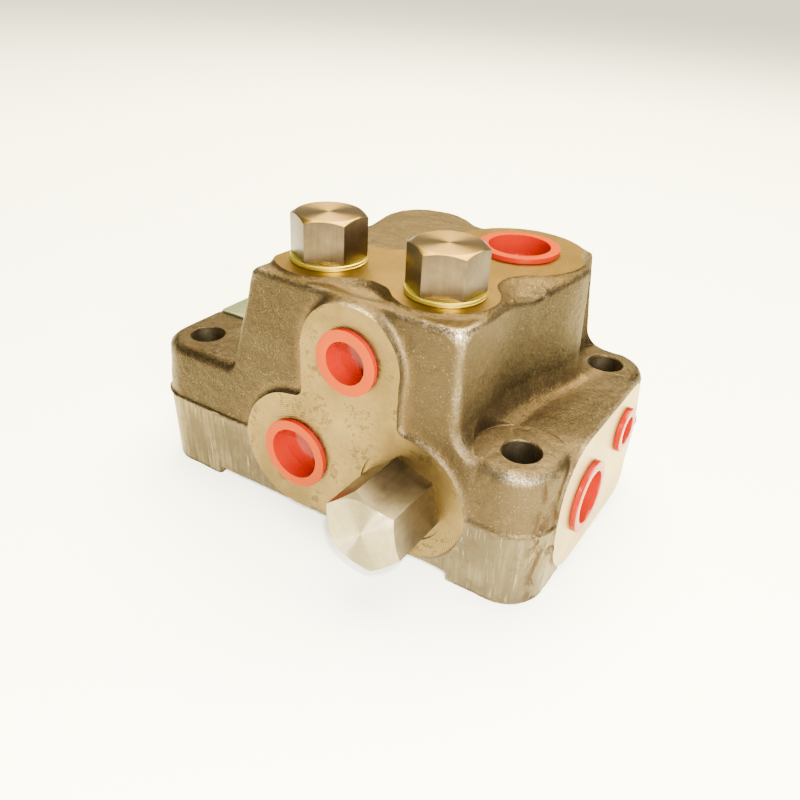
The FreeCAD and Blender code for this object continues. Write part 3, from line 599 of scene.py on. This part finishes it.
def cast_iron():
    """Oiled sand-cast skin, rubbed bright on the ridges, with painted highlights and glints there, and
    painted light at the front right, in the hollows and on the top.
    """
    n = Nodes("cast_iron_oiled")
    wear = n.add("ShaderNodeAttribute", attribute_name="wear").outputs["Fac"]
    speck = n.noise(0.7, 3, 0.7)
    grit = n.steps(n.noise(0.8, 3, 0.7), 0.44, 0.58)
    # painted glints: tiny bright specks in the colour that stand in for highlights on the grain
    glint = n.steps(n.noise(0.55, 1), 0.68, 0.74)
    # ridges: real rubbed edges, with painted highlights where the light catches them
    ridge = n.maths("MULTIPLY", n.steps(wear, 0.50, 0.95), n.between(grit, 0.12, 1.0))
    # painted highlights strongest at the front right, where the light falls
    ridge = n.maths("MULTIPLY", ridge, n.maths("MAXIMUM", lit_front_right(n), 0.25))
    # painted light in the hollows
    hollow = n.steps(wear, -0.12, -0.7)
    rust = n.steps(n.noise(17, 5, 0.65, distortion=0.8), 0.60, 0.76)
    base = n.mix(n.steps(n.noise(26, 4), 0.35, 0.65), CAST_DARK, CAST_LIGHT)
    base = n.mix(n.steps(speck, 0.42, 0.75), base, CAST_SPECK)
    # painted light on the front right
    base = n.mix(n.maths("MULTIPLY", lit_front_right(n), 0.5), base, CAST_FRONT_RIGHT_LIGHT)
    base = n.mix(n.maths("MULTIPLY", hollow, 0.9), base, CAST_HOLLOW_LIGHT)
    # painted light on the top of the casting
    top_light = n.steps(position(n)["Z"], *TOP_LIGHT_Z)
    base = n.mix(n.maths("MULTIPLY", top_light, 0.6), base, CAST_TOP_LIGHT)
    colour = n.mix(n.maths("MULTIPLY", rust, 0.4), base, CAST_RUST)
    # rubbed edges plus painted highlights and glints, mixed toward pale iron
    rub_and_highlight = n.maths("MAXIMUM", n.maths("MULTIPLY", glint, 0.3), ridge)
    colour = n.mix(n.maths("MULTIPLY", rub_and_highlight, 0.8), colour, BARE_IRON_AND_HIGHLIGHT)
    colour = n.mix(rusty_corner(n), colour, RUST)
    normal = n.bump(n.noise(2.4, 2), 0.20, n.bump(speck, 0.25))
    polish = n.maths("MULTIPLY", rub_and_highlight, 0.12)
    rough = n.maths("SUBTRACT", n.between(n.noise(3.0, 2), 0.36, 0.50), polish)
    return n.finish(colour, rough, normal, 1.0, Specular_Tint=WARM)


def machined(name, colours, lines, rough=(0.3, 0.5), stains=0.6, sweep=None):
    """Milled iron: faint parallel tool lines, wide cutter arcs and brown stains."""
    n = Nodes(name)
    marks = n.noise(1.0, 3, vector=n.stretch(lines))
    cloud = n.noise(18, 4, 0.6)
    base = n.mix(n.steps(cloud, 0.35, 0.65), *colours)
    if sweep:
        wave = n.add("ShaderNodeTexWave", wave_type="RINGS", rings_direction=sweep)
        n.link(n.coords, wave.inputs["Vector"])
        wave.inputs["Scale"].default_value = CUTTER_ARCS
        wave.inputs["Distortion"].default_value = 0.6
        marks = n.maths("ADD", marks, n.maths("MULTIPLY", wave.outputs["Fac"], 0.8))
        arcs = n.maths("MULTIPLY", wave.outputs["Fac"], n.steps(n.noise(14, 3), 0.42, 0.60))
        base = n.mix(n.maths("MULTIPLY", arcs, 0.55), base, tuple(c * 0.62 for c in colours[0]))
    grime = n.maths("MULTIPLY", n.noise(9, 3, 0.6), n.noise(2.6, 5, 0.75, distortion=1.0))
    stain = n.steps(grime, 0.29, 0.36)
    colour = n.mix(n.maths("MULTIPLY", stain, stains), base, STAIN)
    wear = n.between(n.noise(4, 3), rough[0], rough[1])
    return n.finish(colour, wear, n.bump(marks, 0.035), 1.0, Specular_Tint=WARM)


def linished_iron():
    """Flange sides dressed on a belt: pale vertical chatter over darker skin."""
    n = Nodes("cast_iron_linished")
    scratches = n.noise(1.0, 4, 0.7, n.stretch((0.9, 0.9, 0.045)))
    chatter = n.noise(1.0, 2, 0.5, n.stretch((0.55, 0.55, 0.03)))
    patch = n.steps(n.noise(22, 3, 0.55), 0.38, 0.60)
    pale = n.mix(n.steps(chatter, 0.38, 0.60), CHATTER_DARK, CHATTER_PALE)
    base = n.mix(patch, LINISHED_DARK, pale)
    base = n.mix(n.steps(scratches, 0.60, 0.68), base, LINISHED_SCRATCH)
    # painted light on the front right of the flange sides
    base = n.mix(n.maths("MULTIPLY", lit_front_right(n), 0.24), base, LINISHED_FRONT_RIGHT_LIGHT)
    dark = n.maths("MULTIPLY", n.steps(n.noise(7, 5, 0.65, distortion=0.6), 0.56, 0.66), 0.7)
    colour = n.mix(dark, base, LINISHED_STAIN)
    colour = n.mix(rusty_corner(n), colour, RUST)
    rough = n.between(scratches, 0.30, 0.50)
    return n.finish(colour, rough, n.bump(scratches, 0.06), 1.0, Specular_Tint=WARM)


def turned_face(name, colour, axis, centre, rough, brushed=0.8):
    """End of a turned bar: fine rings about its axis through centre (mm, 0 along the axis)."""
    n = Nodes(name)
    tangent = n.add("ShaderNodeTangent", direction_type="RADIAL", axis=axis)
    n.link(tangent.outputs[0], n.shader.inputs["Tangent"])
    flat = n.add("ShaderNodeMapping")
    n.link(n.coords, flat.inputs["Vector"])
    flat.inputs["Location"].default_value = [-c * MM for c in centre]
    flat.inputs["Scale"].default_value = [0.0 if letter == axis else 1.0 for letter in "XYZ"]
    radius = n.add("ShaderNodeVectorMath", operation="LENGTH")
    n.link(flat.outputs[0], radius.inputs[0])
    rings = n.noise(0.8, 4, 0.7, radius.outputs["Value"])
    dull = tuple(c * 0.72 for c in colour)
    cloud = n.maths("MULTIPLY", n.steps(n.noise(5, 4, 0.6), 0.4, 0.65), 0.5)
    base = n.mix(n.maths("ADD", n.maths("MULTIPLY", n.steps(rings, 0.4, 0.62), 0.5), cloud), colour, dull)
    return n.finish(base, n.between(rings, *rough), n.bump(rings, 0.012), 1.0,
                    Anisotropic=brushed, Anisotropic_Rotation=0.25)


def drawn_flat(name, colours, along):
    """Flats of drawn hexagon bar: mottled and faintly streaked."""
    n = Nodes(name)
    streak = n.noise(1.0, 4, 0.65, n.stretch(along))
    cloud = n.maths("MULTIPLY", n.noise(6, 4, 0.6), 0.6)
    mottled = n.maths("ADD", cloud, n.maths("MULTIPLY", streak, 0.4))
    base = n.mix(n.steps(mottled, 0.36, 0.62), *colours)
    rough = n.between(n.noise(4, 4), 0.26, 0.48)
    return n.finish(base, rough, n.bump(streak, 0.03), 1.0)


def yellow_zinc():
    """Plated finish that drifts between gold and green."""
    n = Nodes("yellow_zinc_plate")
    tint = n.steps(n.noise(5, 3), 0.35, 0.65)
    colour = n.mix(tint, *ZINC)
    return n.finish(colour, n.between(n.noise(4, 2), 0.30, 0.40), n.bump(n.noise(4, 2), 0.005), 1.0)


def red_plastic(name, colours, gloss):
    """Soft moulded plastic."""
    n = Nodes(name)
    colour = n.mix(n.noise(8, 3), *colours)
    normal = n.bump(n.noise(3, 2), 0.05)
    return n.finish(colour, n.between(n.noise(5, 2), 0.08, 0.16), normal, Specular_IOR_Level=gloss)


def plain(name, low, high, rough, metallic, size=3.0):
    """Mottled finish for small and hidden pieces."""
    n = Nodes(name)
    colour = n.mix(n.noise(size, 4), low, high)
    return n.finish(colour, n.between(n.noise(size, 3), rough - 0.06, rough + 0.08),
                    n.bump(n.noise(size / 4, 3), 0.02), metallic)


# ---- build the casting -------------------------------------------------------------------
solid_field = casting_field()
casting = field_object("cast_body", solid_field)
cut_all(casting, cutters())
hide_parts("valve_body")

casting_materials = [
    cast_iron(),
    machined("iron_faced_top", FACED_TOP, (0.25, 2.2, 1.0), (0.34, 0.5), 0.3, "Z"),
    machined("iron_milled_front", MILLED_FRONT, (0.8, 1.0, 3.0), sweep="Y"),
    machined("iron_milled_side", MILLED_SIDE, (1.0, 0.5, 2.4), (0.3, 0.42), 0.1),
    linished_iron(),
    machined("iron_bored", BORED_IRON, (1.5, 1.5, 1.5), (0.25, 0.4), 0.3),
]
CAST, TOP, FRONT, SIDE, LINISHED, BORED = range(6)
casting.data.materials.clear()
for material in casting_materials:
    casting.data.materials.append(material)


BORE_LIMIT = -20.0  # bores don't reach past here, so the far walls keep their cast skin
ON_FACE = 0.01      # a point this close to a machined plane is on it


def near_axis(points, axis, centre, radius):
    """Which points lie within a radius of a line along the given axis."""
    u, v = (points[:, i] for i in range(3) if i != axis)
    return np.hypot(u - centre[0], v - centre[1]) < radius + 0.05


def bores():
    """Each bore's radius, the axis it runs along, its centre across that axis and the way it opens."""
    found = [(HOLE_R, 2, (sx * HOLE_X, sy * HOLE_Y), 1) for sx in (-1, 1) for sy in (-1, 1)]
    found += [(CAVITY_THREAD_R, 2, place, 1) for place in (PLUG_LEFT, PLUG_RIGHT)]
    found.append((SPOOL_THREAD_R, 1, SPOOL, -1))
    for mouth, out, _, mouth_r, *_ in PORTS.values():
        axis = [abs(part) for part in out].index(1)
        found.append((mouth_r, axis, [mouth[i] for i in range(3) if i != axis], out[axis]))
    return found


def paint_casting(mesh):
    """Gives each face its finish from the way it was machined."""
    count = len(mesh.polygons)
    centres = np.empty(count * 3, np.float32)
    normals = np.empty(count * 3, np.float32)
    mesh.polygons.foreach_get("center", centres)
    mesh.polygons.foreach_get("normal", normals)
    c, n = centres.reshape(-1, 3) / MM, normals.reshape(-1, 3)
    x, y, z = c.T
    slots = np.full(count, CAST)
    ragged = 0.4 * np.sin(x * 1.3 + y) + 0.5 * np.sin(x * 0.37 - y * 0.5)
    side = (z < Z_PART - 0.8 + ragged) & (z > 1) & (np.abs(n[:, 2]) < 0.3)
    outer = (np.abs(x) > 80) | (np.abs(y) > 50)
    slots[side & outer] = LINISHED
    for radius, axis, centre, opens in bores():
        slots[near_axis(c, axis, centre, radius) & (c[:, axis] * opens > BORE_LIMIT)] = BORED
    slots[(np.abs(z - Z_TOP) < ON_FACE) & (n[:, 2] > 0.9)] = TOP
    spot = near_axis(c, 1, SPOOL, SPOTFACE_R) & (np.abs(y - Y_FRONT - SPOTFACE_DEPTH) < ON_FACE)
    slots[((np.abs(y - Y_FRONT) < ON_FACE) & (n[:, 1] < -0.9)) | spot] = FRONT
    slots[(np.abs(x - X_SIDE) < ON_FACE) & (n[:, 0] > 0.9)] = SIDE
    slots[(np.abs(y - Y_REAR) < ON_FACE) & (n[:, 1] > 0.9)] = FRONT
    slots[np.abs(z) < ON_FACE] = FRONT
    mesh.polygons.foreach_set("material_index", slots.astype(np.int32))
    smooth(mesh)
    mesh.update()


def mark_relief(mesh, field):
    """Stores how far each point stands out of its surroundings, in millimetres, as its wear, which sets
    the rubbed edges and painted highlights on the ridges and the painted light in the hollows.
    """
    points = np.empty(len(mesh.vertices) * 3, np.float32)
    mesh.vertices.foreach_get("co", points)
    cut = np.maximum(np.maximum(field, Y_FRONT - Y), np.maximum(Z - Z_TOP, X - X_SIDE))
    near = np.clip(cut, -6, 6)
    values = sample(smoothed(near, 7.0) - smoothed(near, 3.0), points.reshape(-1, 3) / MM)
    wear = mesh.attributes.new("wear", "FLOAT", "POINT")
    wear.data.foreach_set("value", values.astype(np.float32))


paint_casting(casting.data)
mark_relief(casting.data, solid_field)
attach(casting, "casting")


# ---- the other pieces --------------------------------------------------------------------
END_BAND = 2.0  # how deep the finish of a piece's outer end reaches


def softened(node, body, material, width=0.0, end=None):
    """Copy of a CAD piece with its edges broken.

    width is that of the broken edge, and end is the finish of the outer end and the way it faces.
    """
    obj = bpy.data.objects.new(node + "_finished", nodes[node].data.copy())
    bpy.context.scene.collection.objects.link(obj)
    work = bmesh.new()
    work.from_mesh(obj.data)
    bmesh.ops.remove_doubles(work, verts=work.verts, dist=1e-6)
    work.to_mesh(obj.data)
    work.free()
    if width:
        modifier = obj.modifiers.new("edges", "BEVEL")
        modifier.width = width * MM
        modifier.segments = 3
        modifier.limit_method = "ANGLE"
        modifier.angle_limit = math.radians(24)
        apply_modifiers(obj)
    mesh = obj.data
    mesh.materials.clear()
    mesh.materials.append(material)
    mesh.polygons.foreach_set("material_index", np.zeros(len(mesh.polygons), np.int32))
    if end:
        mesh.materials.append(end[0])
        out = Vector(end[1])
        edge = max(vertex.co.dot(out) for vertex in mesh.vertices) - END_BAND * MM
        for face in mesh.polygons:
            if face.normal.dot(out) > 0.6 and face.center.dot(out) > edge:
                face.material_index = 1
    smooth(mesh)
    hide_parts(node)
    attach(obj, body)


spool_centre = (SPOOL[0], 0, SPOOL[1])
face_front = turned_face("steel_turned_front", FACE_FRONT, "Y", spool_centre, (0.40, 0.54), 0.95)
flats = drawn_flat("steel_flats_top", FLATS_TOP, (0.8, 0.8, 0.08))
flats_front = drawn_flat("steel_flats_front", FLATS_FRONT, (0.5, 0.06, 0.5))
zinc = yellow_zinc()
# same plastic twice: painted light on the rim, painted shade in the cup
cap_rim_lit = red_plastic("red_polyethylene_rim_lit", CAP_RIM_LIT, 0.04)
cap_cup_shaded = red_plastic("red_polyethylene_cup_shaded", CAP_CUP_SHADED, 0.14)
plate = plain("plate_grey_green", (0.085, 0.098, 0.038), (0.12, 0.13, 0.05), 0.4, 0.4)
rubber = plain("rubber_black", (0.02, 0.02, 0.02), (0.04, 0.04, 0.04), 0.6, 0.0)
inner_steel = plain("steel_ground", (0.45, 0.44, 0.42), (0.6, 0.59, 0.57), 0.25, 1.0)
wire = plain("spring_wire", (0.30, 0.30, 0.31), (0.42, 0.42, 0.43), 0.3, 1.0, 1.5)

# section of a seal washer: two rims with a groove between, as (radius, height)
WASHER = [(12.3, 0.15), (12.5, 0.0), (14.6, 0.0), (14.85, 0.2), (14.85, 0.6), (14.5, 0.85),
          (14.5, 1.1), (14.85, 1.3), (14.85, 1.7), (14.6, 1.9), (12.5, 1.9), (12.3, 1.75)]
for side, place in (("left", PLUG_LEFT), ("right", PLUG_RIGHT)):
    face_up = turned_face("steel_turned_" + side, FACE_TOP, "Z", (*place, 0), (0.24, 0.36))
    softened("top_plug_" + side, "casting", flats, 0.3, (face_up, (0, 0, 1)))
    washer = lathe("seal_ring_" + side, WASHER, (*place, Z_TOP), (0, 0, 1), hollow=True)
    washer.data.materials.append(zinc)
    smooth(washer.data)
    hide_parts("seal_washer_" + side)
    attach(washer, "casting")
softened("spool_plug_front", "casting", flats_front, 0.35, (face_front, (0, -1, 0)))
softened("spool_plug_rear", "casting", flats_front, 0.3, (face_front, (0, 1, 0)))
for name in PORTS:
    # outer rim of each cap in the painted light, the rest in the painted shade
    softened("port_cap_" + name, "cap_" + name, cap_cup_shaded, 0.5, (cap_rim_lit, PORTS[name][1]))
softened("nameplate", "casting", plate, 0.15)

END_COIL = 2.0  # length of a spring's closed end


def sprung(name, axis, outward):
    """Copy of a CAD spring in the wire finish, in place of the CAD one."""
    obj = bpy.data.objects.new(name + "_coil", nodes[name].data.copy())
    bpy.context.scene.collection.objects.link(obj)
    obj.data.materials.clear()
    obj.data.materials.append(wire)
    reach = [vertex.co[axis] * outward for vertex in obj.data.vertices]
    held, pushed = Vector((0, 0, 0)), Vector((0, 0, 0))
    held[axis] = (max(reach) - END_COIL * MM) * outward
    pushed[axis] = (min(reach) + END_COIL * MM) * outward
    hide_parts(name)
    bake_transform(obj)


for side in ("left", "right"):
    sprung("poppet_spring_" + side, 2, 1)
sprung("spool_spring_front", 1, -1)
sprung("spool_spring_rear", 1, 1)

OTHER_FINISHES = {"rubber": rubber, "o_ring": rubber, "gallery": flats, "screws": flats}
for name, node in nodes.items():
    if node.hide_render:
        continue
    finish = next((m for key, m in OTHER_FINISHES.items() if key in name), inner_steel)
    node.data.materials.clear()
    node.data.materials.append(finish)

# ---- floor, lights, camera ---------------------------------------------------------------
FLOOR_REACH, FLOOR_DROP = 6.0, 0.0002  # metres; the drop keeps it clear of the feet
PAPER = ((0.96, 0.94, 0.78), (0.97, 0.95, 0.82))
PAPER_GLOW, GLOW_STRENGTH = (1.0, 0.96, 0.66, 1), 1.1


def paper_floor():
    """Large pale sheet that throws a little warm light back up."""
    corners = [(x * FLOOR_REACH, y * FLOOR_REACH, -FLOOR_DROP)
               for x, y in ((-1, -1), (1, -1), (1, 1), (-1, 1))]
    floor = mesh_object("floor", corners, [(0, 1, 2, 3)])
    n = Nodes("floor_paper")
    colour = n.mix(n.noise(90, 3), *PAPER)
    floor.data.materials.append(n.finish(colour, 0.8, Emission_Color=PAPER_GLOW,
                                         Emission_Strength=GLOW_STRENGTH))


def area_light(name, place, side, power, colour):
    """Square soft light, side metres across, aimed at the middle of the valve."""
    light = bpy.data.lights.new(name, "AREA")
    light.shape = "RECTANGLE"
    light.size = light.size_y = side
    light.energy = power
    light.color = colour
    obj = bpy.data.objects.new(name, light)
    bpy.context.scene.collection.objects.link(obj)
    obj.location = place
    obj.visible_camera = False
    obj.rotation_euler = (Vector(MIDDLE) - Vector(place)).to_track_quat("-Z", "Y").to_euler()


MIDDLE = (0.0, 0.0, 0.05)
paper_floor()
area_light("softbox_front", (0.52, -0.42, 0.30), 0.25, 23, (1.0, 0.97, 0.92))
area_light("softbox_over", (-0.12, 0.5, 1.2), 1.3, 165, (1.0, 0.90, 0.62))
area_light("flash", (0.30, -0.42, 0.48), 0.03, 14.0, (1.0, 0.98, 0.95))

world = bpy.data.worlds.new("studio")
world.use_nodes = True
bpy.context.scene.world = world
background = world.node_tree.nodes["Background"]
background.inputs["Color"].default_value = (1.0, 0.97, 0.86, 1)
background.inputs["Strength"].default_value = 0.52


CAMERA_PLACE = (158.2, -260.9, 211.4)
CAMERA_ANGLES = (-30.68, 29.61, 3.49)  # degrees: yaw from +Y, down from level, and roll
CAMERA_LENS, SENSOR_WIDTH = 35.94, 36
CAMERA_SHIFT = (-0.0125, -0.0156)


def add_camera():
    """Camera in front of the valve, above it and to its right."""
    yaw, pitch, roll = (math.radians(angle) for angle in CAMERA_ANGLES)
    along = math.cos(pitch)
    ahead = Vector((math.sin(yaw) * along, math.cos(yaw) * along, -math.sin(pitch)))
    level = Vector((math.cos(yaw), -math.sin(yaw), 0))
    above = level.cross(ahead)
    right = level * math.cos(roll) + above * math.sin(roll)
    up = above * math.cos(roll) - level * math.sin(roll)
    data = bpy.data.cameras.new("camera")
    data.sensor_width = SENSOR_WIDTH
    data.lens = CAMERA_LENS
    data.shift_x, data.shift_y = CAMERA_SHIFT
    data.clip_start = 0.01
    camera = bpy.data.objects.new("camera", data)
    bpy.context.scene.collection.objects.link(camera)
    turn = Matrix((right, up, -ahead)).transposed().to_4x4()
    camera.matrix_world = Matrix.Translation(Vector(CAMERA_PLACE) * MM) @ turn
    bpy.context.scene.camera = camera


add_camera()
